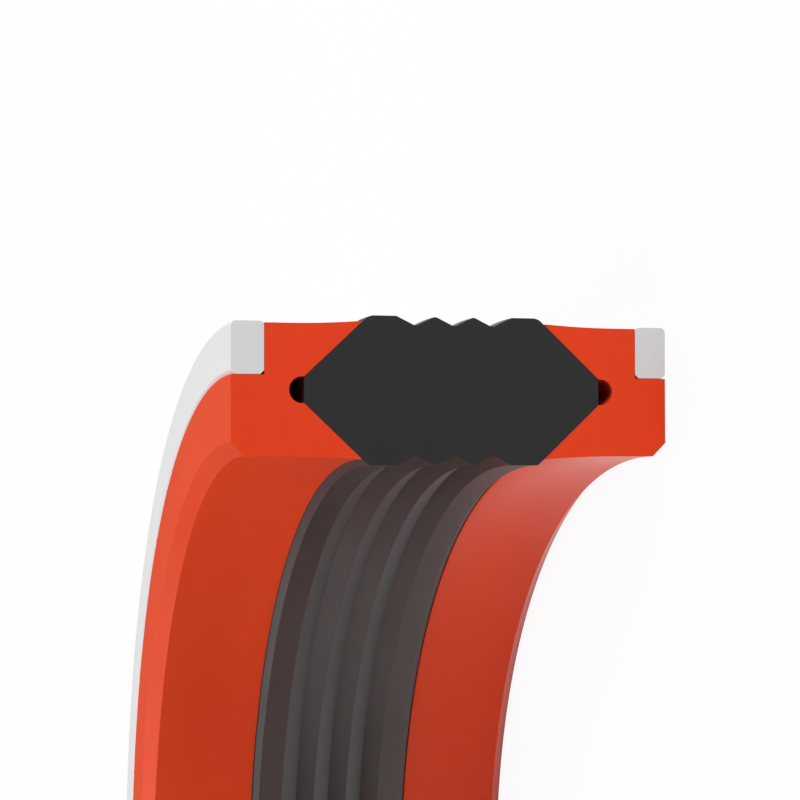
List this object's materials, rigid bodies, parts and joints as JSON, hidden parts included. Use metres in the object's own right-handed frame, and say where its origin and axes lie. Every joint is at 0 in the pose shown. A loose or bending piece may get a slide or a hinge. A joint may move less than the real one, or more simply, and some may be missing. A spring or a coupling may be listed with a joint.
{
  "type": "compact piston seal",
  "caption": "Sectioned double-acting piston seal: grooved rubber ring between V-seated support rings with white guide rings, a quarter cut away to show the section.",
  "frame": {"origin": "on the ring's axis, in the plane of the lower end faces", "axes": "+Z along the ring's axis, up through the hole; +X out through the first cut face, which faces -Y; the missing quarter lies between +X and -Y"},
  "size_m": [0.1012, 0.1012, 0.0345],
  "materials": {
    "nitrile_rubber": "matte",
    "polyester_elastomer": "satin",
    "acetal": "satin"
  },
  "bodies": {
    "root": {"seal_element": "nitrile_rubber", "upper_support_ring": "polyester_elastomer", "lower_support_ring": "polyester_elastomer", "upper_guide_ring": "acetal", "lower_guide_ring": "acetal"}
  },
  "joints": []
}
